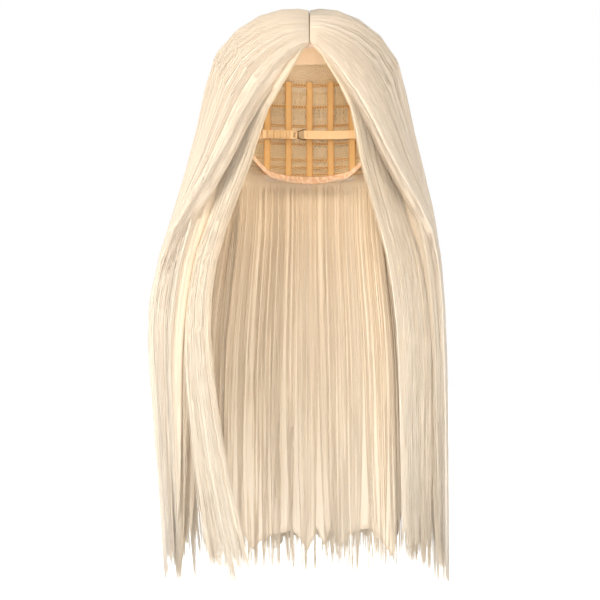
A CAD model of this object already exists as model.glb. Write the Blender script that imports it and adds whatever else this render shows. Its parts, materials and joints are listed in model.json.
# %% [markdown]
# # A long straight wig on a wefted net cap
# The construction comes in as a fixed frame, and this script gives it its looks. Hair is the
# whole of what one sees, so most of the work goes into strands; the inside of the cap is the
# rest. Everything is in metres, +Z up, the face opening looks towards -Y and the wearer's left
# is +X. The origin is the point where the cap rests on the crown.

# %% Load the frame
import json
import math

import bmesh
import bpy
import numpy as np
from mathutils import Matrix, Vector


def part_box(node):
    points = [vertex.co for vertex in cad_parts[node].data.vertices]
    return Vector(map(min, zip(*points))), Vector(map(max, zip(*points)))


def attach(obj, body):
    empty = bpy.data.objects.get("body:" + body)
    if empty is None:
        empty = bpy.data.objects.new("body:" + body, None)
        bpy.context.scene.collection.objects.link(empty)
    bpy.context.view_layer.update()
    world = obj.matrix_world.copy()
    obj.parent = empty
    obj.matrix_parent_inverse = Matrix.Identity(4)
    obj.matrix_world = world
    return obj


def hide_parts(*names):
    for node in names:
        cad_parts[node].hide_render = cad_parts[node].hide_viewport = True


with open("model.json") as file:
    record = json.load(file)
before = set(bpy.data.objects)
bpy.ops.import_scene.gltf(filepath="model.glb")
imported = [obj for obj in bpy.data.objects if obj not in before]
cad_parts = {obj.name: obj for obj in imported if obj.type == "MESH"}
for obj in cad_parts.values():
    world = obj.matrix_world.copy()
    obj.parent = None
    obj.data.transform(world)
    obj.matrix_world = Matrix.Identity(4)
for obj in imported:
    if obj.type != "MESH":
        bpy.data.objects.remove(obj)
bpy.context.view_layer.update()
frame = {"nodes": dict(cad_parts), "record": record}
MM = 0.001

# %% [markdown]
# ## Camera
# The wig hangs before a white ground and is seen level, from straight in front and from two
# metres off.

# %% Camera
VIEW_DISTANCE = 2.0
VIEW_HEIGHT = -0.297
VIEW_SIDE = -0.0105
SEEN_WIDTH = 0.630  # how much of the plane through the origin the camera sees
SENSOR = 36.0

camera_data = bpy.data.cameras.new("front_view")
camera_data.sensor_width = SENSOR
camera_data.lens = SENSOR * VIEW_DISTANCE / SEEN_WIDTH
camera = bpy.data.objects.new("front_view", camera_data)
camera.location = (VIEW_SIDE, -VIEW_DISTANCE, VIEW_HEIGHT)
camera.rotation_euler = (math.radians(90), 0, 0)
bpy.context.collection.objects.link(camera)
bpy.context.scene.camera = camera
bpy.context.scene.view_settings.view_transform = "Standard"
print("lens", round(camera_data.lens, 1), "mm")

# %% [markdown]
# ## Writing node trees as sums
# Materials and Geometry Nodes are both node trees. One class holds an output socket and turns
# Python arithmetic into Math nodes; the other adds any other node in one call, with its settings
# first and its inputs after.

# %% Node tree helpers


class Value:
    """An output socket that can be added, multiplied and so on."""

    def __init__(self, tree, socket):
        self.tree = tree
        self.socket = socket

    def _math(self, operation, first, second):
        return self.tree.add("ShaderNodeMath", {"operation": operation}, {0: first, 1: second})

    def __add__(self, other):
        return self._math("ADD", self, other)

    def __sub__(self, other):
        return self._math("SUBTRACT", self, other)

    def __rsub__(self, other):
        return self._math("SUBTRACT", other, self)

    def __mul__(self, other):
        return self._math("MULTIPLY", self, other)

    def __truediv__(self, other):
        return self._math("DIVIDE", self, other)

    def __pow__(self, other):
        return self._math("POWER", self, other)

    __radd__ = __add__
    __rmul__ = __mul__


class Tree:
    """A node tree that is filled one call at a time."""

    def __init__(self, nodes):
        self.nodes = nodes

    def add(self, kind, settings=None, inputs=None, out=None):
        """Adds a node and gives back its output: the first that is in use, or the named one."""
        node = self.nodes.nodes.new(kind)
        for name, value in (settings or {}).items():
            setattr(node, name, value)
        for key, value in (inputs or {}).items():
            self.feed(self.find(node.inputs, key), value)
        return Value(self, self.find(node.outputs, 0 if out is None else out))

    def find(self, sockets, key):
        """The socket with this name or place among those that the settings leave in use."""
        used = [socket for socket in sockets if socket.enabled]
        if isinstance(key, int):
            return used[key]
        return next(socket for socket in used if socket.name == key)

    def feed(self, socket, value):
        if isinstance(value, Value):
            self.nodes.links.new(value.socket, socket)
        elif value is not None:
            socket.default_value = value


def vector_math(tree, operation, first, second):
    return tree.add("ShaderNodeVectorMath", {"operation": operation}, {0: first, 1: second})


print("a Value takes + - * / and ** and adds a Math node for each")

# %% [markdown]
# ## Hair fibre material
# Blonde synthetic fibre is pale, with a soft gloss that the strands' round sides spread into
# bands. The roots and the inner layers are more golden, the outer coat is nearly cream. Every
# strand carries its tone and layer as attributes, which the shader reads.

# %% Fibre materials


def new_material(name):
    """A material with its tree, its shader and nothing else."""
    material = bpy.data.materials.new(name)
    material.use_nodes = True
    shader = material.node_tree.nodes["Principled BSDF"]
    return material, Tree(material.node_tree), shader


def blend_colours(tree, share, low, high):
    """A colour share of the way from low to high."""
    settings = {"data_type": "RGBA"}
    inputs = {"Factor": share, "A": low, "B": high}
    return tree.add("ShaderNodeMix", settings, inputs)


def attribute(tree, name):
    return tree.add("ShaderNodeAttribute", {"attribute_name": name}, out="Fac")


def fibre_colour(tree, outward, along, tone, gold, cream):
    """Gold, inside and at the roots, to cream, outside and at the tips."""
    paleness = outward * 0.30 + along * 0.55 + tone * 0.30 - 0.05
    return blend_colours(tree, paleness, (*gold, 1), (*cream, 1))


def strand_material(name, gold, cream):
    """Single fibres, which carry their own place in the section."""
    material, tree, shader = new_material(name)
    tone, outward, along = (attribute(tree, part) for part in ("tone", "outward", "along"))
    colour = fibre_colour(tree, outward, along, tone, gold, cream)
    tree.feed(shader.inputs["Base Color"], colour)
    tree.feed(shader.inputs["Roughness"], tone * 0.1 + 0.38)
    shader.inputs["Specular IOR Level"].default_value = 0.4
    return material


OUTER_TONES = {"gold": (0.80, 0.62, 0.42), "cream": (0.95, 0.88, 0.78)}
UNDER_TONES = {"gold": (0.84, 0.65, 0.42), "cream": (0.96, 0.88, 0.76)}
outer_fibre = strand_material("outer_fibre", **OUTER_TONES)
under_fibre = strand_material("under_fibre", **UNDER_TONES)
print("made", outer_fibre.name, "and", under_fibre.name)

# %% [markdown]
# ## Packed fibre material
# A wig has far more strands than are worth making, so each section gets one closed layer under
# its strands. Its material draws the rest of them with two noises stretched from root to tip, a
# fine one for fibres and a broad one for locks.

# %% Packed fibre material
FINE_STREAKS = (150.0, 1.6, 1.0)  # streaks across a section, and along it
BROAD_STREAKS = (22.0, 1.1, 1.0)


def mass_material(name, gold, cream, outward):
    """The packed fibre inside a section: fine streaks that run from root to tip."""
    material, tree, shader = new_material(name)
    uv = tree.add("ShaderNodeUVMap", {"uv_map": "UVMap"})
    streak, lock = (
        tree.add(
            "ShaderNodeTexNoise",
            {},
            {"Vector": vector_math(tree, "MULTIPLY", uv, stretch), "Scale": 1.0, "Detail": detail},
        )
        for stretch, detail in ((FINE_STREAKS, 4.0), (BROAD_STREAKS, 2.0))
    )
    along = tree.add("ShaderNodeSeparateXYZ", {}, {0: uv}, out="Y")
    tone = streak * 0.9 + lock * 1.1 - 0.5
    colour = fibre_colour(tree, outward, along, tone, gold, cream)
    tree.feed(shader.inputs["Base Color"], colour)
    tree.feed(shader.inputs["Roughness"], streak * 0.25 + 0.3)
    shader.inputs["Specular IOR Level"].default_value = 0.4
    height = streak * 0.6 + lock
    bump = tree.add("ShaderNodeBump", {}, {"Height": height, "Strength": 0.6, "Distance": 0.002})
    tree.feed(shader.inputs["Normal"], bump)
    return material


MASS_OF = {
    outer_fibre: mass_material("outer_mass", **OUTER_TONES, outward=0.9),
    under_fibre: mass_material("under_mass", **UNDER_TONES, outward=0.3),
}
print("made", [mass.name for mass in MASS_OF.values()])

# %% [markdown]
# ## The fall of the hair
# All the hair lies between two surfaces: the cap, widening into an inner curtain, and the outer
# coat. A layer between them is a share from 0, inside, to 1, outside. A strand is drawn by a few
# places that it passes: on the dome over the cap by a direction, below it by a height and an
# angle round the head.

# %% The hair's envelope
CAP_HALF_HEIGHT = 98.0  # crown seat to the widest line of the head
HAIR_ON_CAP = 3.0
HAIR_ON_CROWN = 15.0
FALL = np.array(
    [
        # height, centre x, half width inside, outside, half depth inside, outside
        (-98.0, -5.0, 78.6, 109.0, 102.6, 124.0),
        (-130.0, -5.0, 80.0, 116.0, 99.0, 124.0),
        (-170.0, -5.5, 88.0, 127.0, 84.0, 122.0),
        (-210.0, -7.0, 104.0, 138.0, 80.0, 118.0),
        (-260.0, -11.0, 122.0, 149.0, 80.0, 115.0),
        (-320.0, -14.0, 132.0, 156.0, 82.0, 112.0),
        (-440.0, -9.0, 134.0, 154.0, 84.0, 107.0),
        (-600.0, -3.0, 135.0, 149.0, 84.0, 100.0),
    ]
)


def size_of(share, row):
    """The centre, half width and half depth of one layer, from a row of the fall."""
    _, centre, wide_in, wide_out, deep_in, deep_out = row
    wide = wide_in + share * (wide_out - wide_in)
    return share * centre, wide, deep_in + share * (deep_out - deep_in)


def on_dome(share, direction):
    """The place on one layer of the dome that lies in a direction from its centre."""
    centre, wide, deep = size_of(share, FALL[0])
    high = CAP_HALF_HEIGHT + HAIR_ON_CAP + share * (HAIR_ON_CROWN - HAIR_ON_CAP)
    level = math.hypot(direction[0], direction[1])
    spread = math.sqrt(max(0.0, 1 - direction[2] ** 2)) / level
    unit = (direction[0] * spread, direction[1] * spread, direction[2])
    return np.array([centre + wide * unit[0], deep * unit[1], high * unit[2] - CAP_HALF_HEIGHT])


def on_fall(share, height, turn, side):
    """The place on one layer of the fall; turn is 0 at the front and 180 at the back."""
    row = [np.interp(-height, -FALL[:, 0], column) for column in FALL.T]
    centre, wide, deep = size_of(share, row)
    angle = math.radians(turn)
    return np.array([centre + side * wide * math.sin(angle), -deep * math.cos(angle), height])


print("hair reaches", -FALL[-1, 0], "mm below the crown")

# %% [markdown]
# ## Smooth paths
# The few places that a strand passes are joined by a Catmull-Rom curve, which goes through each
# of them, and the curve is then cut into even steps.

# %% Smooth paths
PARTS_PER_SPAN = 12


def smooth_path(points, count):
    """Evenly spaced places on a smooth curve through the points."""
    points = np.array(points)
    padded = np.vstack([2 * points[0] - points[1], points, 2 * points[-1] - points[-2]])
    fine = []
    for start in range(len(points) - 1):
        p0, p1, p2, p3 = padded[start : start + 4]
        slope, bend = p2 - p0, 2 * p0 - 5 * p1 + 4 * p2 - p3
        twist = 3 * p1 - p0 - 3 * p2 + p3
        for step in np.linspace(0, 1, PARTS_PER_SPAN, endpoint=False):
            fine.append(0.5 * (2 * p1 + slope * step + bend * step**2 + twist * step**3))
    fine = np.array(fine + [points[-1]])
    run = np.concatenate([[0], np.cumsum(np.linalg.norm(np.diff(fine, axis=0), axis=1))])
    spots = np.linspace(0, run[-1], count)
    return np.stack([np.interp(spots, run, fine[:, axis]) for axis in range(3)], axis=1)


nape = smooth_path([on_fall(1.0, height, 180, 1) for height in FALL[:, 0]], 30)
nape_length = np.linalg.norm(np.diff(nape, axis=0), axis=1).sum()
print("below the cap the coat is", round(float(nape_length)), "mm long at the back")

# %% [markdown]
# ## Guide sheets
# Each section of hair has one guide sheet, a grid whose columns are the paths of its strands
# from root to tip. Its front and rear edge are described, and the columns between are blended.
# Every point stores the step outwards to the section's outer layer, so that strands can fill the
# whole thickness.

# %% Guide sheets
SHEET_COLUMNS = 25
SHEET_ROWS = 45


def place_on(key, share, side, blend):
    """Where a strand passes, blended between a section's front and rear edge."""
    front, rear = key[0], key[1]
    mixed = [a + (b - a) * blend for a, b in zip(front, rear)]
    if len(mixed) == 3:
        mixed[0] *= side
        return on_dome(share, mixed)
    return on_fall(share, mixed[0], mixed[1], side)


def link_mesh(name, mesh):
    """A new object, in the scene, that shows a mesh."""
    made = bpy.data.objects.new(name, mesh)
    bpy.context.collection.objects.link(made)
    return made


def paint_uv(mesh, spots):
    """Gives each corner of a mesh the UV place of its point."""
    corners = np.empty(len(mesh.loops), dtype=np.int32)
    mesh.loops.foreach_get("vertex_index", corners)
    mesh.uv_layers.new(name="UVMap").data.foreach_set("uv", spots[corners].ravel())


def guide_sheet(name, keys, side):
    """A sheet from keys of (front place, rear place, inner share, outer share)."""
    inner, outer = [], []
    for blend in np.linspace(0, 1, SHEET_COLUMNS):
        inner.append(smooth_path([place_on(k, k[2], side, blend) for k in keys], SHEET_ROWS))
        outer.append(smooth_path([place_on(k, k[3], side, blend) for k in keys], SHEET_ROWS))
    inner, outer = np.array(inner) * MM, np.array(outer) * MM
    number = np.arange(SHEET_COLUMNS * SHEET_ROWS).reshape(SHEET_COLUMNS, SHEET_ROWS)
    corner = number[:-1, :-1].ravel()
    faces = np.stack([corner, corner + SHEET_ROWS, corner + SHEET_ROWS + 1, corner + 1], 1)
    mesh = bpy.data.meshes.new(name)
    mesh.from_pydata(inner.reshape(-1, 3).tolist(), [], faces.tolist())
    step = mesh.attributes.new("outward_step", "FLOAT_VECTOR", "POINT")
    step.data.foreach_set("vector", (outer - inner).ravel())
    across, down = np.meshgrid(
        np.linspace(0, 1, SHEET_COLUMNS), np.linspace(0, 1, SHEET_ROWS), indexing="ij"
    )
    paint_uv(mesh, np.stack([across.ravel(), down.ravel()], axis=1))
    return link_mesh(name, mesh)


print("a guide sheet is", SHEET_COLUMNS, "by", SHEET_ROWS, "points")

# %% [markdown]
# ## Ends of a tree
# Every Geometry Nodes tree here has named inputs, and ends in real geometry with one material.

# %% Ends of a tree


def group_inputs(group, inputs):
    """Declares a tree's inputs, each by its default or its kind, and gives back the Values."""
    group.interface.new_socket("Geometry", in_out="OUTPUT", socket_type="NodeSocketGeometry")
    for name, value in inputs.items():
        kind = {int: "Int", float: "Float"}.get(type(value), value)
        kind = {"in_out": "INPUT", "socket_type": f"NodeSocket{kind}"}
        socket = group.interface.new_socket(name, **kind)
        if not isinstance(value, str):
            socket.default_value = value
    tree = Tree(group)
    source = group.nodes.new("NodeGroupInput")
    return tree, {name: Value(tree, source.outputs[name]) for name in inputs}


def finish_group(tree, geometry, material):
    """Ends a tree with plain geometry in one material."""
    geometry = tree.add("GeometryNodeRealizeInstances", {}, {"Geometry": geometry})
    geometry = tree.add(
        "GeometryNodeSetMaterial", {}, {"Geometry": geometry, "Material": material}
    )
    target = tree.nodes.nodes.new("NodeGroupOutput")
    tree.feed(target.inputs[0], geometry)


def store(tree, geometry, name, value):
    settings = {"data_type": "FLOAT", "domain": "POINT"}
    inputs = {"Geometry": geometry, "Name": name, "Value": value}
    return tree.add("GeometryNodeStoreNamedAttribute", settings, inputs)


def scaled(tree, vector, factor):
    return tree.add("ShaderNodeVectorMath", {"operation": "SCALE"}, {0: vector, "Scale": factor})


print("every tree ends in real geometry with one material")

# %% [markdown]
# ## Strands with Geometry Nodes
# One tree makes every section. It moves the points of straight lines onto the sheet: along it by
# how far down the strand they are, across it by a random number, outwards by another. Strands
# near each other share a lock, which draws them together towards the tips and may stray.

# %% Where a strand lies
LOCK_UNEVENNESS = 1.6


def strand_course(tree, given, chance, strand, down):
    """A strand's spot on the sheet at each point, its way outwards, and its lock."""
    across = chance(strand, 1)
    uneven = tree.add(
        "ShaderNodeTexNoise",
        {"noise_dimensions": "1D"},
        {"W": across * given["Locks"] * 0.6 + given["Seed"] * 3.7, "Detail": 1.0},
    )
    uneven = uneven * LOCK_UNEVENNESS
    lock = across * given["Locks"] + uneven
    lock = tree.add("ShaderNodeMath", {"operation": "FLOOR"}, {0: lock})
    middle = (lock + 0.5 - uneven) / given["Locks"]
    late = down**4
    pull = given["Lock pull"] * late
    stray = (chance(lock, 11) - 0.5) * given["Lock splay"] * late
    column = across + (middle - across) * pull + stray
    column = tree.add("ShaderNodeClamp", {}, {0: column, 1: 0.004, 2: 0.996})
    outward = chance(strand, 2)
    outward = outward + (chance(lock, 12) - outward) * pull * 0.7
    outward = given["Innermost"] + outward * (given["Outermost"] - given["Innermost"])
    short = chance(strand, 3) ** 2 * 0.5 + chance(lock, 13) * 0.5
    row = down * (1 - given["Raggedness"] * short)
    spot = tree.add("ShaderNodeCombineXYZ", {}, {0: column, 1: row * 0.998 + 0.001})
    return spot, outward, lock


print("a lock's width varies by up to", LOCK_UNEVENNESS, "locks")

# %% [markdown]
# ## From the sheet into space
# Sample UV Surface turns a spot on the sheet into a place, and reads the step to the outer layer
# there. A slow noise lets each strand wander off its course towards its tip.

# %% From the sheet into space


def place_in_space(tree, given, chance, strand, down, spot, outward):
    """The place of each point of a strand."""
    vectors = {"data_type": "FLOAT_VECTOR"}
    sheet = tree.add("GeometryNodeObjectInfo", {}, {"Object": given["Sheet"]}, out="Geometry")

    def stored(name):
        return tree.add("GeometryNodeInputNamedAttribute", vectors, {"Name": name})

    def on_sheet(value):
        inputs = {"Mesh": sheet, "Value": value, "UV Map": stored("UVMap"), "Sample UV": spot}
        return tree.add("GeometryNodeSampleUVSurface", vectors, inputs)

    base = on_sheet(tree.add("GeometryNodeInputPosition"))
    step = scaled(tree, on_sheet(stored("outward_step")), outward)
    drift_at = {0: chance(strand, 1) * 9, 1: down * 2.2, 2: chance(strand, 4) * 1.5}
    drift_at = tree.add("ShaderNodeCombineXYZ", {}, drift_at)
    inputs = {"Vector": drift_at, "Scale": 1.6, "Detail": 2.0}
    drift = tree.add("ShaderNodeTexNoise", {"noise_dimensions": "3D"}, inputs, out="Color")
    drift = vector_math(tree, "SUBTRACT", drift, (0.5, 0.5, 0.5))
    drift = scaled(tree, drift, given["Wander"] * 2 * down)
    return vector_math(tree, "ADD", vector_math(tree, "ADD", base, step), drift)


print("strands are drawn over sheets of", SHEET_COLUMNS * SHEET_ROWS, "points")

# %% [markdown]
# ## The strand tree
# The strands are thin tubes with three sides, tapered towards the tip and closed at both ends.

# %% The strand tree
STRAND_POINTS = 17
STRAND_INPUTS = {
    "Sheet": "Object",
    "Strands": 1000,
    "Radius": 0.30 * MM,
    "Locks": 20.0,
    "Lock pull": 0.6,
    "Lock splay": 0.03,
    "Raggedness": 0.06,
    "Wander": 0.003,
    "Innermost": 0.0,
    "Outermost": 1.0,
    "Crowding": 1.0,
    "Seed": 0,
    "Fibre": "Material",
}


def strand_tree():
    """Strands that follow a guide sheet."""
    group = bpy.data.node_groups.new("strands_over_sheet", "GeometryNodeTree")
    tree, given = group_inputs(group, STRAND_INPUTS)
    line = tree.add("GeometryNodeCurvePrimitiveLine")
    line = tree.add("GeometryNodeResampleCurve", {}, {"Curve": line, "Count": STRAND_POINTS})
    roots = tree.add("GeometryNodeMeshLine", {}, {"Count": given["Strands"]})
    strands = tree.add("GeometryNodeInstanceOnPoints", {}, {"Points": roots, "Instance": line})
    strands = tree.add("GeometryNodeRealizeInstances", {}, {"Geometry": strands})
    down = tree.add("GeometryNodeSplineParameter", out="Factor") ** given["Crowding"]
    strand = tree.add("GeometryNodeCurveOfPoint", out="Curve Index")

    def chance(identity, offset):
        """A number from 0 to 1 that stays the same for one identity."""
        inputs = {"ID": identity, "Seed": given["Seed"] + offset}
        return tree.add("FunctionNodeRandomValue", {"data_type": "FLOAT"}, inputs)

    spot, outward, lock = strand_course(tree, given, chance, strand, down)
    place = place_in_space(tree, given, chance, strand, down, spot, outward)
    strands = tree.add("GeometryNodeSetPosition", {}, {"Geometry": strands, "Position": place})
    tone = chance(strand, 5) * 0.55 + chance(lock, 15) * 0.45
    for name, value in (("tone", tone), ("outward", outward), ("along", down)):
        strands = store(tree, strands, name, value)
    taper = (1 - down**4 * 0.8) * (chance(strand, 6) * 0.4 + 0.8)
    ring = tree.add("GeometryNodeCurvePrimitiveCircle", {}, {"Resolution": 3, "Radius": 1.0})
    tubes = {"Curve": strands, "Profile Curve": ring, "Fill Caps": True}
    tubes["Scale"] = given["Radius"] * taper
    finish_group(tree, tree.add("GeometryNodeCurveToMesh", {}, tubes), given["Fibre"])
    return group


strands_over_sheet = strand_tree()
print("the strand tree has", len(strands_over_sheet.nodes), "nodes")

# %% [markdown]
# ## Running a tree
# A modifier on an empty holder runs a tree once, and what comes out is kept as a plain mesh.

# %% Running a tree


def run_tree(name, group, values):
    """Runs a Geometry Nodes tree once and keeps its result as a plain mesh piece."""
    holder = link_mesh(name + "_holder", bpy.data.meshes.new(name + "_holder"))
    modifier = holder.modifiers.new(name, "NODES")
    modifier.node_group = group
    sockets = {item.name: item.identifier for item in group.interface.items_tree}
    for key, value in values.items():
        modifier[sockets[key]] = value
    graph = bpy.context.evaluated_depsgraph_get()
    mesh = bpy.data.meshes.new_from_object(holder.evaluated_get(graph))
    mesh.name = name
    bpy.data.objects.remove(holder)
    mesh.shade_smooth()
    return link_mesh(name, mesh)


print("trees are run one piece at a time")

# %% [markdown]
# ## Packed fibre
# The closed layer follows the same sheet. Its lower edge is cut into pointed locks, its sides
# are rounded like lips, and it swells a little from lock to lock, so that light catches on it.

# %% Locks of a packed layer
MASS_COLUMNS = 121
MASS_ROWS = 40
LIP = 0.07  # share of the width over which an edge is rounded
LONGEST = 0.985
RIPPLE = 0.05


def cut_into_locks(locks, reach, tatter, seed):
    """Where each column of a packed layer ends, and how far it swells."""
    chance = np.random.default_rng(seed)
    across = np.linspace(0, 1, MASS_COLUMNS)
    uneven = sum(chance.uniform(-0.35, 0.35) * np.sin(across * n * 5 + n) for n in (1, 2, 3))
    place = across * locks + uneven
    point = 1 - 2 * np.abs(place % 1 - 0.5)
    longer = chance.uniform(-1, 1, locks + 4)[np.floor(place).astype(int)]
    ends = np.clip(reach + tatter * (point - 0.5 + 0.6 * longer), 0.2, LONGEST)
    swell = 0.5 * np.sin(place * 2 * np.pi) + 0.5 * np.sin(place * 7.3 + 1)
    return ends, swell * RIPPLE


print("a packed layer has", MASS_COLUMNS * MASS_ROWS * 2, "points")

# %% [markdown]
# ## Skins of a packed layer
# The layer has an inner and an outer skin, each read from the sheet between its points, and a
# wall of faces that joins them all round.

# %% Skins of a packed layer


def between(grid, spots, axis):
    """Rows or columns of a grid read at fractional places."""
    low = np.minimum(spots.astype(int), grid.shape[axis] - 2)
    share = (spots - low).reshape([-1 if a == axis else 1 for a in range(3)])
    return np.take(grid, low, axis) * (1 - share) + np.take(grid, low + 1, axis) * share


def skin_of(sheet, share, middle, ends, swell):
    """One skin of a packed layer, at a share of the way out of its sheet."""
    mesh = sheet.data
    inner, step = np.empty(len(mesh.vertices) * 3), np.empty(len(mesh.vertices) * 3)
    mesh.vertices.foreach_get("co", inner)
    mesh.attributes["outward_step"].data.foreach_get("vector", step)
    shape = (SHEET_COLUMNS, SHEET_ROWS, 3)
    columns = np.linspace(0.25, SHEET_COLUMNS - 1.25, MASS_COLUMNS)
    inner, step = (between(grid.reshape(shape), columns, 0) for grid in (inner, step))
    across, down = np.linspace(0, 1, MASS_COLUMNS), np.linspace(0, 1, MASS_ROWS)
    to_edge = np.clip(np.minimum(across, 1 - across) / LIP, 0.02, 1)
    lip = np.sqrt(1 - (1 - to_edge) ** 2)
    skin = np.empty((MASS_COLUMNS, MASS_ROWS, 3))
    for column in range(MASS_COLUMNS):
        rows = down * ends[column] * (SHEET_ROWS - 1)
        shift = middle + (share - middle) * lip[column] * (1 - down**5)
        shift = shift + swell[column] * np.minimum(1, down * 4)
        at = between(inner[column : column + 1], rows, 1)[0]
        skin[column] = at + between(step[column : column + 1], rows, 1)[0] * shift[:, None]
    return skin.reshape(-1, 3)


def closed_faces(columns, rows):
    """Faces of two grids, one over the other, and of the wall that joins their edges."""
    number = np.arange(columns * rows).reshape(columns, rows)
    a, b, c, d = number[:-1, :-1], number[:-1, 1:], number[1:, 1:], number[1:, :-1]
    under = np.stack([a, b, c, d], -1).reshape(-1, 4)
    over = np.stack([a, d, c, b], -1).reshape(-1, 4) + number.size
    rim = np.concatenate([number[:, 0], number[-1, 1:], number[-2::-1, -1], number[0, -2:0:-1]])
    after = np.roll(rim, -1)
    wall = np.stack([rim, after, after + number.size, rim + number.size], -1)
    return np.concatenate([under, over, wall])


print("and", len(closed_faces(MASS_COLUMNS, MASS_ROWS)), "faces")

# %% [markdown]
# ## A packed layer as a piece
# The sheet's own coordinates become the UV map, so that the streaks run from root to tip.

# %% A packed layer as a piece


def outward_facing(piece):
    """Turns a closed mesh's faces so that they look out of it."""
    work = bmesh.new()
    work.from_mesh(piece.data)
    bmesh.ops.recalc_face_normals(work, faces=work.faces)
    if work.calc_volume(signed=True) < 0:
        bmesh.ops.reverse_faces(work, faces=work.faces)
    work.to_mesh(piece.data)
    work.free()
    return piece


def packed_mass(name, sheet, material, layer, reach, tatter, locks, seed):
    """A closed layer of packed fibre inside a section that ends in pointed locks."""
    ends, swell = cut_into_locks(locks, reach, tatter, seed)
    skins = [skin_of(sheet, share, sum(layer) / 2, ends, swell) for share in layer]
    made = bpy.data.meshes.new(name)
    faces = closed_faces(MASS_COLUMNS, MASS_ROWS)
    made.from_pydata(np.concatenate(skins).tolist(), [], faces.tolist())
    across, down = np.linspace(0, 1, MASS_COLUMNS), np.linspace(0, 1, MASS_ROWS)
    spot = np.stack(np.meshgrid(across, down, indexing="ij"), axis=-1)
    spot[..., 1] *= ends[:, None]
    paint_uv(made, np.concatenate([spot.reshape(-1, 2)] * 2))
    made.materials.append(material)
    made.shade_smooth()
    return outward_facing(link_mesh(name, made))


print("packed layers are ready for", len(MASS_OF), "kinds of fibre")

# %% [markdown]
# ## Combing a section
# One call makes a section: its sheet, its strands and its packed layer, if it has one. They ride
# with the wig and stand for the section's CAD solid, whose finish they take over.

# %% Combing a section


def wear(piece, node):
    """A new piece rides with the wig and stands for a CAD node."""
    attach(piece, "wig")
    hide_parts(node)
    parts = frame["record"]["subparts"]
    next(part["material_slot"] for part in parts if part["node"] == node)


def comb(name, keys, side, node, fibre, mass=None, **values):
    """Makes one section of hair over its guide sheet and lets it stand for its CAD node."""
    sheet = guide_sheet(name + "_guide", keys, side)
    inputs = {"Sheet": sheet, "Fibre": fibre}
    inputs.update({key.replace("_", " "): value for key, value in values.items()})
    made = [run_tree(name, strands_over_sheet, inputs)]
    if mass:
        packed = name.replace("strands", "mass")
        made.append(packed_mass(packed, sheet, MASS_OF[fibre], seed=values["Seed"], **mass))
    for piece in made:
        wear(piece, node)
    bpy.data.objects.remove(sheet)
    print(name, len(made[0].data.polygons), "faces")


SIDES = (("left", 1), ("right", -1))
print("sections come in pairs,", " and ".join(name for name, _ in SIDES))

# %% [markdown]
# ## Front and crown hair
# The coat starts at the centre parting. Its foremost strands make the edge of the face opening:
# they run down and outwards like the edge of a tent until they hang straight. The crown section
# starts further back along the parting.

# %% Front and crown keys
COAT_FALL = (
    # height, inner share, outer share
    (-108.0, 0.40, 1.0),
    (-148.0, 0.52, 1.0),
    (-188.0, 0.52, 1.0),
    (-222.0, 0.52, 1.0),
    (-258.0, 0.52, 1.0),
    (-320.0, 0.52, 1.0),
    (-420.0, 0.52, 1.0),
    (-520.0, 0.50, 0.98),
    (-597.0, 0.45, 0.95),
)


def fall_keys(layers, front, rear):
    """Keys below the dome, from the turns of a section's front and rear edge."""
    rows = zip(layers, front, rear)
    return tuple(((z, fore), (z, aft), inner, outer) for (z, inner, outer), fore, aft in rows)


FRONT_KEYS = (
    # front edge, rear edge, inner share, outer share
    ((0.004, -0.81, 0.586), (0.004, -0.08, 0.997), 0.0, 0.22),
    ((0.14, -0.86, 0.50), (0.22, -0.08, 0.97), 0.0, 0.62),
    ((0.31, -0.90, 0.31), (0.55, -0.07, 0.83), 0.04, 0.90),
    ((0.44, -0.89, 0.12), (0.86, -0.05, 0.50), 0.15, 1.0),
    *fall_keys(
        COAT_FALL,
        (35.0, 44.5, 57.0, 71.0, 77.0, 77.0, 77.0, 77.0, 77.0),
        (91.0, 92.0, 93.0, 94.0, 95.0, 96.0, 97.0, 98.0, 98.0),
    ),
)
CROWN_KEYS = (
    ((0.004, -0.10, 0.995), (0.002, 0.27, 0.963), 0.0, 0.22),
    ((0.21, -0.10, 0.97), (0.16, 0.36, 0.92), 0.0, 0.62),
    ((0.54, -0.09, 0.83), (0.46, 0.44, 0.77), 0.04, 0.90),
    ((0.85, -0.07, 0.50), (0.78, 0.46, 0.44), 0.15, 1.0),
    *fall_keys(
        COAT_FALL,
        (89.0, 90.0, 91.0, 94.0, 95.0, 96.0, 97.0, 98.0, 98.0),
        (117.0, 119.0, 120.0, 120.0, 122.0, 123.0, 124.0, 126.0, 127.0),
    ),
)
print("a strand of the coat passes", len(FRONT_KEYS), "named places")

# %% [markdown]
# ## Combing the front and the crown
# The coat's strands lie on the outside of its packed layer, and their points crowd towards the
# root, where the hair bends most.

# %% Comb the front and the crown
COAT = {"Lock_pull": 0.5, "Wander": 2.0 * MM, "Innermost": 0.84, "Crowding": 1.5}
for name, side in SIDES:
    comb(
        f"front_strands_{name}", FRONT_KEYS, side, f"front_hair_{name}", outer_fibre,
        mass={"layer": (0.02, 0.80), "reach": 0.87, "tatter": 0.10, "locks": 5}, Strands=1300,
        Locks=6.0, Lock_splay=0.05, Raggedness=0.10, Seed=3 + side, **COAT,
    )
    comb(
        f"crown_strands_{name}", CROWN_KEYS, side, f"crown_hair_{name}", outer_fibre,
        mass={"layer": (0.05, 0.80), "reach": 0.88, "tatter": 0.09, "locks": 6}, Strands=900,
        Locks=7.0, Lock_splay=0.05, Raggedness=0.10, Seed=13 + side, **COAT,
    )

# %% [markdown]
# ## Front edges
# Along the face opening one looks at the coat edge-on, so a narrow strip of the front section is
# combed once more, through its whole depth.

# %% Comb the front edges
EDGE_SHARE = 0.14


def edge_keys(keys, share):
    """The strip along a section's front edge, through the section's whole depth."""
    strip = []
    for front, rear, inner, outer in keys:
        near = tuple(a + (b - a) * share for a, b in zip(front, rear))
        strip.append((front, near, inner, outer))
    return strip


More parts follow.
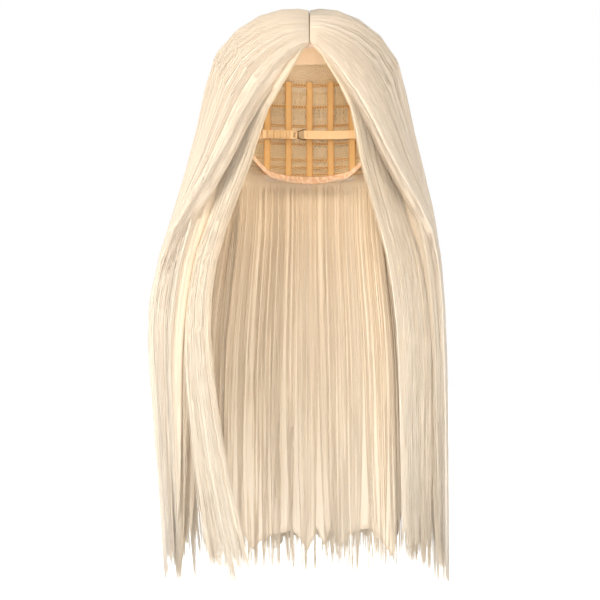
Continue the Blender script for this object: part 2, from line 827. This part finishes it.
for name, side in SIDES:
    comb(
        f"front_edge_strands_{name}", edge_keys(FRONT_KEYS, EDGE_SHARE), side,
        f"front_hair_{name}", outer_fibre, Strands=380, Locks=2.0, Lock_pull=0.3, Lock_splay=0.10,
        Raggedness=0.12, Wander=2.0 * MM, Seed=23 + side,
    )

# %% [markdown]
# ## Back of the coat
# Behind the parting the hair radiates from the crown and covers the whole back, from the left
# edge round behind the head to the right edge.

# %% Comb the back of the coat
BACK_LEFT_TURNS = (112.0, 115.0, 118.0, 120.0, 122.0, 123.0, 124.0, 126.0, 127.0)
BACK_KEYS = (
    ((0.07, 0.22, 0.973), (-0.07, 0.22, 0.973), 0.0, 0.26),
    ((0.24, 0.30, 0.923), (-0.24, 0.30, 0.923), 0.0, 0.62),
    ((0.55, 0.37, 0.75), (-0.55, 0.37, 0.75), 0.0, 0.90),
    ((0.82, 0.39, 0.42), (-0.82, 0.39, 0.42), 0.08, 0.98),
    *fall_keys(
        ((-108.0, 0.42, 1.0), *COAT_FALL[1:-1], (-586.0, 0.48, 0.94)),
        BACK_LEFT_TURNS,
        [360 - turn for turn in BACK_LEFT_TURNS],
    ),
)
comb(
    "crown_strands_back", BACK_KEYS, 1, "crown_hair_back", outer_fibre,
    mass={"layer": (0.30, 0.80), "reach": 0.91, "tatter": 0.06, "locks": 15}, Strands=1700,
    Locks=22.0, Lock_splay=0.02, Raggedness=0.06, Seed=31, **COAT,
)

# %% [markdown]
# ## Side hair under the coat
# The side rows hang over the ears and make the inner walls that one sees past the face opening.
# They reach out into the coat, so that no slit shows between the two.

# %% Comb the sides
SIDE_FALL = tuple((z, 0.0, 0.50) for z in (-105.0, -130.0, -160.0, -210.0, -260.0, -340.0, -440.0))
SIDE_KEYS = (
    ((0.47, -0.81, 0.337), (0.84, 0.43, 0.337), 0.0, 0.45),
    ((0.62, -0.77, 0.16), (0.88, 0.45, 0.16), 0.0, 0.50),
    *fall_keys(
        SIDE_FALL,
        (48.0, 62.0, 68.0, 67.0, 67.0, 68.0, 69.0),
        (117.0, 121.0, 127.0, 133.0, 137.0, 136.0, 135.0),
    ),
    ((-520.0, 72.0), (-520.0, 134.0), 0.0, 0.48),
    ((-592.0, 76.0), (-588.0, 134.0), 0.02, 0.45),
)
for name, side in SIDES:
    comb(
        f"side_strands_{name}", SIDE_KEYS, side, f"side_hair_{name}", under_fibre,
        mass={"layer": (0.15, 1.05), "reach": 0.84, "tatter": 0.12, "locks": 5}, Strands=1300,
        Locks=6.0, Lock_pull=0.7, Lock_splay=0.12, Raggedness=0.14, Wander=3.0 * MM,
        Outermost=1.35, Seed=43 + side,
    )

# %% [markdown]
# ## Back curtains
# Four curtains start at their own rows at the back of the cap, one under the other. The lowest
# one is what one sees under the cap, so it has the most strands.

# %% Comb the curtains


def curtain_keys(root, tip, inner, outer, spread):
    """A back curtain from its row of stitches to its tips, in its own layer."""
    keys = [((root, 116.0 + spread), (root, 244.0 - spread), 0.0, 0.04)]
    for drop in (12.0, 34.0):
        share = min(1.0, drop / 30.0)
        turn = 118.0 + spread + drop * 0.1
        keys.append(((root - drop, turn), (root - drop, 360 - turn), inner * share, outer * share))
    for height, turn in ((-215.0, 128.0), (-262.0, 132.0), (-350.0, 131.0), (-450.0, 130.0)):
        turn += spread
        keys.append(((height, turn), (height, 360 - turn), inner, outer))
    keys.append(((tip, 130.0 + spread), (tip, 230.0 - spread), inner, outer))
    return keys


CURTAINS = (
    # node, height of the root, height of the tips, inner and outer share, spread, strands
    ("upper_back_hair", -68.0, -570.0, 0.39, 0.51, 0.0, 400),
    ("middle_back_hair", -104.0, -566.0, 0.26, 0.39, 2.0, 400),
    ("lower_back_hair", -140.0, -574.0, 0.13, 0.26, 4.0, 600),
    ("nape_hair", -152.0, -598.0, 0.0, 0.13, 6.0, 1500),
)
for number, (node, root, tip, inner, outer, spread, strands) in enumerate(CURTAINS):
    comb(
        node.replace("hair", "strands"), curtain_keys(root, tip, inner, outer, spread), 1, node,
        under_fibre, mass={"layer": (0.20, 0.70), "reach": 0.925, "tatter": 0.05, "locks": 6},
        Strands=strands, Locks=7.0, Lock_pull=0.5, Lock_splay=0.04, Raggedness=0.06,
        Wander=2.5 * MM, Seed=60 + number,
    )

# %% [markdown]
# ## Woven cloths
# The cap is sewn from several cloths with one recipe: warp and weft threads as two waves,
# mottled by noise, in the object's own coordinates, so that every thread has its real size. A
# cloth that is drawn up on its elastic has gathers as well.

# %% Woven cloths


def place_of(tree):
    """The x, y and z of a point, in millimetres."""
    place = scaled(tree, tree.add("ShaderNodeTexCoord", out="Object"), 1 / MM)
    return place, [tree.add("ShaderNodeSeparateXYZ", {}, {0: place}, out=axis) for axis in "XYZ"]


def wave(tree, along, pitch):
    """Threads a pitch apart, from 0 between them to 1 on top."""
    turned = along * (math.pi / pitch)
    return tree.add("ShaderNodeMath", {"operation": "SINE"}, {0: turned}) ** 2


def noise(tree, place, size, detail=2.0):
    """Soft patches about as large as size, in millimetres."""
    inputs = {"Vector": place, "Scale": 1 / size, "Detail": detail}
    return tree.add("ShaderNodeTexNoise", {}, inputs)


def surface(parts, colour, roughness, height, strength, depth, sheen=0.0):
    """Joins a colour, a roughness and a bump, whose depth is in millimetres, to a shader."""
    material, tree, shader = parts
    tree.feed(shader.inputs["Base Color"], colour)
    tree.feed(shader.inputs["Roughness"], roughness)
    shader.inputs["Sheen Weight"].default_value = sheen
    bump = {"Height": height, "Strength": strength, "Distance": depth * MM}
    tree.feed(shader.inputs["Normal"], tree.add("ShaderNodeBump", {}, bump))
    return material


def cloth(name, dark, light, pitch, depth, roughness=0.85, weft_share=1.0, gathers=0):
    """A woven cloth whose threads stand a pitch apart, drawn up into gathers if it has any."""
    parts = new_material(name)
    tree = parts[1]
    place, (x, y, z) = place_of(tree)
    crooked = noise(tree, place, pitch * 3.0) * (pitch * 0.9)
    warp = wave(tree, x + y * 0.7 + crooked, pitch)
    weft = wave(tree, z + crooked, pitch * 1.1)
    weave = warp * 0.5 + weft * (0.5 * weft_share)
    patches = noise(tree, place, 9.0, 4.0)
    paleness, height = weave * 0.55 + patches * 0.6 - 0.1, weave
    if gathers:
        uneven = noise(tree, place, gathers * 1.5) * (gathers * 2.5)
        crease = wave(tree, x + y * 0.5 + uneven, gathers)
        paleness, height = paleness + crease * 0.5 - 0.3, weave + crease * 3
    colour = blend_colours(tree, paleness, (*dark, 1), (*light, 1))
    return surface(parts, colour, patches * 0.2 + (roughness - 0.1), height, 0.9, depth, 0.25)


tape_cloth = cloth("tape_cloth", (0.74, 0.52, 0.38), (0.93, 0.80, 0.68), 0.9, 0.25)
side_cloth = cloth("side_cloth", (0.70, 0.38, 0.16), (0.92, 0.66, 0.42), 0.9, 0.25)
nape_cloth = cloth("nape_cloth", (0.76, 0.42, 0.22), (0.97, 0.76, 0.56), 1.2, 0.35, gathers=7)
header_cloth = cloth("header_cloth", (0.46, 0.18, 0.03), (0.72, 0.36, 0.10), 0.7, 0.3)
patch_cloth = cloth("patch_cloth", (0.74, 0.46, 0.22), (0.92, 0.68, 0.40), 0.8, 0.25)
tab_cloth = cloth("tab_cloth", (0.78, 0.56, 0.40), (0.94, 0.80, 0.66), 0.6, 0.2)
loop_cloth = cloth("loop_cloth", (0.55, 0.33, 0.13), (0.80, 0.58, 0.33), 0.6, 0.2)
skin_mesh = cloth("skin_mesh", (0.78, 0.56, 0.40), (0.93, 0.76, 0.60), 0.5, 0.1)
satin_elastic = cloth(
    "satin_elastic", (0.70, 0.44, 0.20), (0.92, 0.69, 0.42), 0.75, 0.3, 0.42, weft_share=0.3
)
net_yarn = cloth("net_yarn", (0.80, 0.55, 0.25), (0.96, 0.79, 0.48), 0.3, 0.05, 0.6)
lace_yarn = cloth("lace_yarn", (0.78, 0.56, 0.34), (0.92, 0.74, 0.52), 0.3, 0.05, 0.7)
sewing_thread = cloth("sewing_thread", (0.80, 0.60, 0.42), (0.96, 0.84, 0.70), 0.3, 0.05, 0.6)
gold_thread = cloth("gold_thread", (0.52, 0.30, 0.10), (0.80, 0.55, 0.26), 0.3, 0.05, 0.6)
print(sum("cloth" in material.name for material in bpy.data.materials), "cloths")

# %% [markdown]
# ## Ribbon, felt and wire
# The ribbons have a darker selvedge on each edge, the lining is felt without a weave, and the
# hook is lacquered wire that is rubbed bright in places.

# %% Ribbon, felt and wire
RIBBON_SPACING = 23.0
RIBBON_HALF_WIDTH = 3.5


def bordered(name, dark, light, edge):
    """Ribbons that hang side by side at one spacing, each with a darker selvedge."""
    parts = new_material(name)
    tree = parts[1]
    place, (x, y, z) = place_of(tree)
    inputs = {0: x, 1: RIBBON_SPACING / 2, 2: -RIBBON_SPACING / 2}
    off_middle = tree.add("ShaderNodeMath", {"operation": "WRAP"}, inputs)
    off_middle = tree.add("ShaderNodeMath", {"operation": "ABSOLUTE"}, {0: off_middle})
    rim = tree.add("ShaderNodeClamp", {}, {0: (off_middle - RIBBON_HALF_WIDTH * 0.62) * 1.6})
    rib = wave(tree, x, 0.8) * 0.5 + wave(tree, z, 1.1) * 0.5
    patches = noise(tree, place, 8.0, 4.0)
    middle = blend_colours(tree, rib * 0.5 + patches * 0.6 - 0.1, (*dark, 1), (*light, 1))
    colour = blend_colours(tree, rim * (patches * 0.5 + 0.55), middle, (*edge, 1))
    return surface(parts, colour, patches * 0.2 + 0.7, rib, 0.9, 0.2)


def felt(name, dark, light):
    """A soft lining with short fibres and no weave."""
    parts = new_material(name)
    tree = parts[1]
    place, _ = place_of(tree)
    fibres, patches = noise(tree, place, 0.7, 6.0), noise(tree, place, 6.0, 3.0)
    colour = blend_colours(tree, fibres * 0.6 + patches * 0.5 - 0.05, (*dark, 1), (*light, 1))
    return surface(parts, colour, fibres * 0.15 + 0.85, fibres, 0.8, 0.4, 0.4)


def coated_wire(name, dark, light):
    """Lacquer over steel wire, rubbed a little brighter in places."""
    parts = new_material(name)
    tree = parts[1]
    place, _ = place_of(tree)
    rubbed = noise(tree, place, 1.6, 4.0)
    parts[2].inputs["Metallic"].default_value = 0.85
    colour = blend_colours(tree, rubbed * 1.8 - 0.6, (*dark, 1), (*light, 1))
    return surface(parts, colour, rubbed * 0.3 + 0.22, rubbed, 0.2, 0.1)


ribbon_cloth = bordered("ribbon_cloth", (0.58, 0.34, 0.12), (0.80, 0.54, 0.25), (0.52, 0.24, 0.06))
stay_coat = felt("stay_coat", (0.68, 0.52, 0.38), (0.86, 0.72, 0.58))
lining_felt = felt("lining_felt", (0.78, 0.58, 0.38), (0.93, 0.78, 0.60))
hook_bronze = coated_wire("hook_bronze", (0.07, 0.04, 0.02), (0.38, 0.24, 0.12))
print("made", [made.name for made in (ribbon_cloth, stay_coat, lining_felt, hook_bronze)])

# %% [markdown]
# ## Dressing the construction
# The flat pieces of the cap keep their CAD shape and only get their cloth. It goes on the
# object's own material slots, which leaves the mesh as it is.

# %% Dressing the construction
WORN_BY = {
    "front_tape": tape_cloth,
    "side_tape_left": side_cloth,
    "side_tape_right": side_cloth,
    "nape_tape": nape_cloth,
    "parting_lining": lining_felt,
    "parting_base": skin_mesh,
    "strap_patch_left": patch_cloth,
    "strap_patch_right": patch_cloth,
    "ear_tab_left": tab_cloth,
    "ear_tab_right": tab_cloth,
    "ear_stay_left": stay_coat,
    "ear_stay_right": stay_coat,
    "hook_strap": satin_elastic,
    "eye_strap": satin_elastic,
    "loop_tape": loop_cloth,
    "adjuster_hook": hook_bronze,
}
for node in frame["nodes"]:
    if node.startswith("net_ribbon"):
        WORN_BY[node] = ribbon_cloth
    elif "_weft_" in node:
        WORN_BY[node] = header_cloth
for node, material in WORN_BY.items():
    for place in frame["nodes"][node].material_slots:
        place.link = "OBJECT"
        place.material = material
print(len(WORN_BY), "construction pieces have a cloth or a metal")

# %% [markdown]
# ## The net and the lace
# The net is real geometry, because one looks through it at the rows of hair behind. A ball of
# triangles is stretched over the head, cut down to the part near the CAD net, and turned
# inside out into six-sided cells whose edges become yarn. The lace is the same, but finer.

# %% The net tree


def tubes_along(tree, line, sides, radius):
    """Closed tubes along the lines of a curve."""
    ring = {"Resolution": sides, "Radius": radius}
    ring = tree.add("GeometryNodeCurvePrimitiveCircle", {}, ring)
    tubes = {"Curve": line, "Profile Curve": ring, "Fill Caps": True}
    return tree.add("GeometryNodeCurveToMesh", {}, tubes)


def net_tree():
    """Six-sided mesh over the part of an ellipsoid that lies near a CAD node."""
    group = bpy.data.node_groups.new("net_over_cap", "GeometryNodeTree")
    tree, given = group_inputs(
        group,
        {
            "Cap": "Object",
            "Half size": "Vector",
            "Centre": "Vector",
            "Fineness": 6,
            "Yarn radius": 0.0003,
            "Reach": 0.0012,
            "Yarn": "Material",
        },
    )
    ball = {"Radius": 1.0, "Subdivisions": given["Fineness"]}
    ball = tree.add("GeometryNodeMeshIcoSphere", {}, ball)
    ball = {"Geometry": ball, "Translation": given["Centre"], "Scale": given["Half size"]}
    ball = tree.add("GeometryNodeTransform", {}, ball)
    cap = tree.add("GeometryNodeObjectInfo", {}, {"Object": given["Cap"]}, out="Geometry")
    away = tree.add("GeometryNodeProximity", {"target_element": "FACES"}, {0: cap}, out="Distance")
    reach = {0: away, 1: given["Reach"]}
    far = tree.add("FunctionNodeCompare", {"operation": "GREATER_THAN"}, reach)
    kept = tree.add("GeometryNodeDeleteGeometry", {}, {"Geometry": ball, "Selection": far})
    cells = tree.add("GeometryNodeDualMesh", {}, {"Mesh": kept})
    edges = tree.add("GeometryNodeMeshToCurve", {}, {"Mesh": cells})
    finish_group(tree, tubes_along(tree, edges, 3, given["Yarn radius"]), given["Yarn"])
    return group


net_over_cap = net_tree()
print("the net tree has", len(net_over_cap.nodes), "nodes")

# %% [markdown]
# ## Net and lace over the head
# Both lie in the middle of the CAD net's thickness, on the head's ellipsoid made that much
# larger.

# %% Net and lace over the head
HEAD_HALF_SIZE = np.array([75.72, 99.63, CAP_HALF_HEIGHT])
NET_LAYER = 1.15  # from the head to the middle of the net

for node, fineness, yarn_radius, yarn in (
    ("cap_net", 6, 0.42, net_yarn),
    ("lace_front", 7, 0.14, lace_yarn),
):
    inputs = {
        "Cap": frame["nodes"][node],
        "Half size": [float(v) for v in (HEAD_HALF_SIZE + NET_LAYER) * MM],
        "Centre": [0.0, 0.0, -CAP_HALF_HEIGHT * MM],
        "Fineness": fineness,
        "Yarn radius": yarn_radius * MM,
        "Yarn": yarn,
    }
    piece = run_tree(node + "_yarn", net_over_cap, inputs)
    wear(piece, node)
    print(piece.name, len(piece.data.polygons), "faces")

# %% [markdown]
# ## Sewing
# Zigzag stitches hold the tape round the rim, and two tight rows hold every header to the net.
# One small tree turns a line on the head into thread.

# %% Thread


def thread_tree():
    """Thread along the edges of a mesh."""
    group = bpy.data.node_groups.new("thread_along_edges", "GeometryNodeTree")
    tree, given = group_inputs(
        group,
        {
            "Seam": "Object",
            "Thread radius": 0.0002,
            "Thread": "Material",
        },
    )
    seam = tree.add("GeometryNodeObjectInfo", {}, {"Object": given["Seam"]}, out="Geometry")
    line = tree.add("GeometryNodeMeshToCurve", {}, {"Mesh": seam})
    finish_group(tree, tubes_along(tree, line, 4, given["Thread radius"]), given["Thread"])
    return group


thread_along_edges = thread_tree()


def sew(name, seams, radius, thread):
    """Thread along several lines of points, in millimetres, as one piece."""
    points = np.concatenate(seams) * MM
    edges, start = [], 0
    for seam in seams:
        edges += [(start + n, start + n + 1) for n in range(len(seam) - 1)]
        start += len(seam)
    mesh = bpy.data.meshes.new(name + "_guide")
    mesh.from_pydata(points.tolist(), edges, [])
    guide = link_mesh(name + "_guide", mesh)
    inputs = {"Seam": guide, "Thread radius": radius * MM, "Thread": thread}
    piece = run_tree(name, thread_along_edges, inputs)
    bpy.data.objects.remove(guide)
    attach(piece, "wig")
    print(name, len(piece.data.polygons), "faces")


print("the thread tree has", len(thread_along_edges.nodes), "nodes")

# %% [markdown]
# ## Lines on the head
# A seam follows a level row or the rim, whose corners are given as seen from the side. Both are
# laid on the head's ellipsoid, and a zigzag steps to and fro across its line.

# %% Lines on the head
STITCH_STEP = 1.5


def on_head(side, y, z, layer):
    """The place in a layer of the cap, seen from the side at y and z."""
    half = HEAD_HALF_SIZE + layer
    left = 1 - (y / half[1]) ** 2 - ((z + CAP_HALF_HEIGHT) / half[2]) ** 2
    return np.array([side * half[0] * math.sqrt(max(0.0, left)), y, z])


def row_on_head(z, layer, turn_from, turn_to, step):
    """A level line round the head; turns are degrees from the front towards the left."""
    half = HEAD_HALF_SIZE + layer
    level = math.sqrt(1 - ((z + CAP_HALF_HEIGHT) / half[2]) ** 2)
    count = int(abs(turn_to - turn_from) * math.radians(1) * half[1] / step) + 2
    turns = np.radians(np.linspace(turn_from, turn_to, count))
    return np.stack(
        [half[0] * level * np.sin(turns), -half[1] * level * np.cos(turns), np.full(count, z)], 1
    )


def zigzag(line, width):
    """A line whose points step to and fro across it, in the surface of the head."""
    along = np.gradient(line, axis=0)
    outward = (line + [0, 0, CAP_HALF_HEIGHT]) / HEAD_HALF_SIZE**2
    across = np.cross(along, outward)
    across /= np.linalg.norm(across, axis=1)[:, None]
    sign = np.where(np.arange(len(line)) % 2, 1, -1)[:, None]
    return line + across * sign * width / 2


def along_side(corners, side, layer, step):
    """A line over the head through corners given from the side, with even steps."""
    corners = np.array(corners)
    run = np.concatenate([[0], np.cumsum(np.linalg.norm(np.diff(corners, axis=0), axis=1))])
    spots = np.linspace(0, run[-1], int(run[-1] / step) + 2)
    ys, zs = np.interp(spots, run, corners[:, 0]), np.interp(spots, run, corners[:, 1])
    return np.array([on_head(side, y, z, layer) for y, z in zip(ys, zs)])


row_width = np.ptp(row_on_head(-37.5, NET_LAYER, -90, 90, STITCH_STEP)[:, 0])
print("the cap is", round(float(row_width)), "mm wide at the hairline")

# %% [markdown]
# ## Stitches of the rim
# The zigzag shows on the inside of the tape, so it lies just inside the tape's layer.

# %% Stitches of the rim
INSIDE_TAPE = -0.12
HAIRLINE_Z, NAPE_Z = -37.5, -167.5
SIDE_RIM = (
    # the rim's corners from the temple to behind the ear, as y and z
    (-79.0, -40.0),
    (-46.0, -91.0),
    (-41.0, -101.0),
    (12.0, -101.0),
    (32.0, -133.0),
    (53.0, -161.5),
)
rim_seams = [
    zigzag(row_on_head(HAIRLINE_Z, INSIDE_TAPE, -52, 52, STITCH_STEP), 4.5),
    zigzag(row_on_head(NAPE_Z, INSIDE_TAPE, 118, 242, STITCH_STEP), 5.0),
]
for _, side in SIDES:
    rim_seams.append(zigzag(along_side(SIDE_RIM, side, INSIDE_TAPE, STITCH_STEP), 4.5))
sew("rim_zigzag", rim_seams, 0.24, sewing_thread)

# %% [markdown]
# ## Stitches of the headers
# Two tight rows run along every header at the back, where they show through the net.

# %% Stitches of the headers
header_seams = []
for node in frame["nodes"]:
    if node.startswith("back_weft"):
        low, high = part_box(node)
        for share in (0.25, 0.75):
            z = (low[2] + (high[2] - low[2]) * share) / MM
            seam = row_on_head(z, NET_LAYER - 0.5, 104, 256, STITCH_STEP * 0.8)
            header_seams.append(zigzag(seam, 0.9))
sew("header_stitches", header_seams, 0.2, gold_thread)

# %% [markdown]
# ## Temple hair
# A thin layer of hair starts at the hairline inside the front sections and falls with them. It
# covers a little of each side of the opening, more on the wearer's left; on the right it turns
# back towards the middle lower down.

# %% Comb the temples
TEMPLE_FALL = ((-112.0, 0.0, 0.16), (-150.0, 0.0, 0.18))
TEMPLE_FALL += tuple((z, 0.0, 0.20) for z in (-200.0, -260.0, -340.0, -450.0))
TEMPLES = {
    "left": (
        ((0.10, -0.83, 0.545), (0.13, -0.82, 0.545), 0.0, 0.12),
        ((0.20, -0.90, 0.376), (0.40, -0.84, 0.376), 0.0, 0.14),
        ((0.41, -0.90, 0.10), (0.74, -0.66, 0.10), 0.0, 0.15),
        *fall_keys(
            TEMPLE_FALL,
            (32.0, 35.0, 38.0, 40.0, 42.0, 43.0),
            (60.0, 67.0, 68.0, 69.0, 68.0, 66.0),
        ),
        ((-568.0, 44.0), (-580.0, 66.0), 0.0, 0.18),
    ),
    "right": (
        ((0.08, -0.83, 0.545), (0.11, -0.82, 0.545), 0.0, 0.12),
        ((0.19, -0.90, 0.376), (0.32, -0.86, 0.376), 0.0, 0.14),
        ((0.40, -0.90, 0.10), (0.62, -0.77, 0.10), 0.0, 0.15),
        *fall_keys(
            TEMPLE_FALL,
            (35.0, 43.0, 50.0, 52.0, 50.0, 40.0),
            (54.0, 66.0, 70.0, 71.0, 69.0, 61.0),
        ),
        ((-590.0, 24.0), (-594.0, 48.0), 0.0, 0.18),
    ),
}
for name, side in SIDES:
    comb(
        f"temple_strands_{name}", TEMPLES[name], side, f"side_hair_{name}", under_fibre,
        mass={"layer": (0.15, 0.75), "reach": 0.86, "tatter": 0.11, "locks": 3}, Strands=700,
        Locks=4.0, Lock_pull=0.6, Lock_splay=0.10, Raggedness=0.12, Wander=2.5 * MM, Crowding=1.2,
        Seed=83 + side,
    )

# %% [markdown]
# ## Floor
# The plain pale floor is well below the tips. Floor and world look white to the camera alone, so
# no lamp has to bleach them; to the lamps the floor is a matt light grey.

# %% Floor
FLOOR_DROP = 0.66
FLOOR_REACH = 6
floor_mesh = bpy.data.meshes.new("floor")
far = ((-FLOOR_REACH, -FLOOR_REACH), (FLOOR_REACH, -FLOOR_REACH))
far += tuple((-x, -y) for x, y in far)
corners = [(x, y, -FLOOR_DROP) for x, y in far]
floor_mesh.from_pydata(corners, [], [(0, 1, 2, 3)])
floor = link_mesh("floor", floor_mesh)
floor_paint, floor_tree, floor_shader = new_material("floor_paint")
floor_shader.inputs["Base Color"].default_value = (0.86, 0.86, 0.86, 1)
floor_shader.inputs["Roughness"].default_value = 0.9
floor_shader.inputs["Specular IOR Level"].default_value = 0.0
floor_shader.inputs["Emission Color"].default_value = (1, 1, 1, 1)
seen = floor_tree.add("ShaderNodeLightPath", out="Is Camera Ray")
floor_tree.feed(floor_shader.inputs["Emission Strength"], seen)
floor_mesh.materials.append(floor_paint)
print("the floor is", FLOOR_DROP, "m below the crown")

# %% [markdown]
# ## World
# Soft light comes from all round, and less of it from above, so that the crown isn't paler than
# the fall of the hair.

# %% World
LEVEL_LIGHT, LESS_FROM_ABOVE = 0.80, 0.45
world = bpy.data.worlds.new("studio")
world.use_nodes = True
bpy.context.scene.world = world
sky = Tree(world.node_tree)
background = world.node_tree.nodes["Background"]
background.inputs["Color"].default_value = (1, 1, 1, 1)
rays = [sky.add("ShaderNodeLightPath", out=kind) for kind in ("Is Camera Ray", "Is Glossy Ray")]
seen = sky.add("ShaderNodeMath", {"operation": "MAXIMUM"}, {0: rays[0], 1: rays[1]})
direction = sky.add("ShaderNodeTexCoord", out="Generated")
upward = sky.add("ShaderNodeSeparateXYZ", {}, {0: direction}, out="Z")
overhead = sky.add("ShaderNodeMath", {"operation": "MAXIMUM"}, {0: upward, 1: 0.0})
unseen = LEVEL_LIGHT - overhead * LESS_FROM_ABOVE
sky.feed(background.inputs["Strength"], seen + unseen * (1 - seen))
print("the world gives", LEVEL_LIGHT, "from the sides")

# %% [markdown]
# ## Lamps
# Two large lamps in front, one stronger, give the hair its long gloss, and a third does so
# behind. A small one near the camera reaches into the opening, and a faint one hangs inside the
# cap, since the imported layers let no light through, as thin real hair does.

# %% Lamps


def lamp(name, kind, place, watts, colour):
    """A lamp of one kind at a place."""
    data = bpy.data.lights.new(name, kind)
    data.energy = watts
    data.color = colour
    light = bpy.data.objects.new(name, data)
    light.location = place
    bpy.context.collection.objects.link(light)
    return light


MIDDLE = (0, 0, -0.3)
for name, place, aim, size, watts in (
    ("key", (-1.5, -1.9, 0.1), MIDDLE, 1.2, 30),
    ("front", (0.1, -2.4, -0.25), (0, 0, -0.22), 0.4, 17),
    ("fill", (1.6, -1.7, -0.2), MIDDLE, 1.4, 14),
    ("rear", (-0.7, 2.2, -0.2), MIDDLE, 1.4, 30),
):
    light = lamp(name, "AREA", place, watts, (1.0, 0.985, 0.96))
    light.data.size = size
    way = Vector(aim) - Vector(place)
    light.rotation_euler = way.to_track_quat("-Z", "Y").to_euler()
glow = lamp("glow_inside", "POINT", (0.0, -0.01, -0.105), 0.18, (1.0, 0.95, 0.86))
glow.data.shadow_soft_size = 0.03
glow.visible_camera = False
print(len(bpy.data.lights), "lamps")
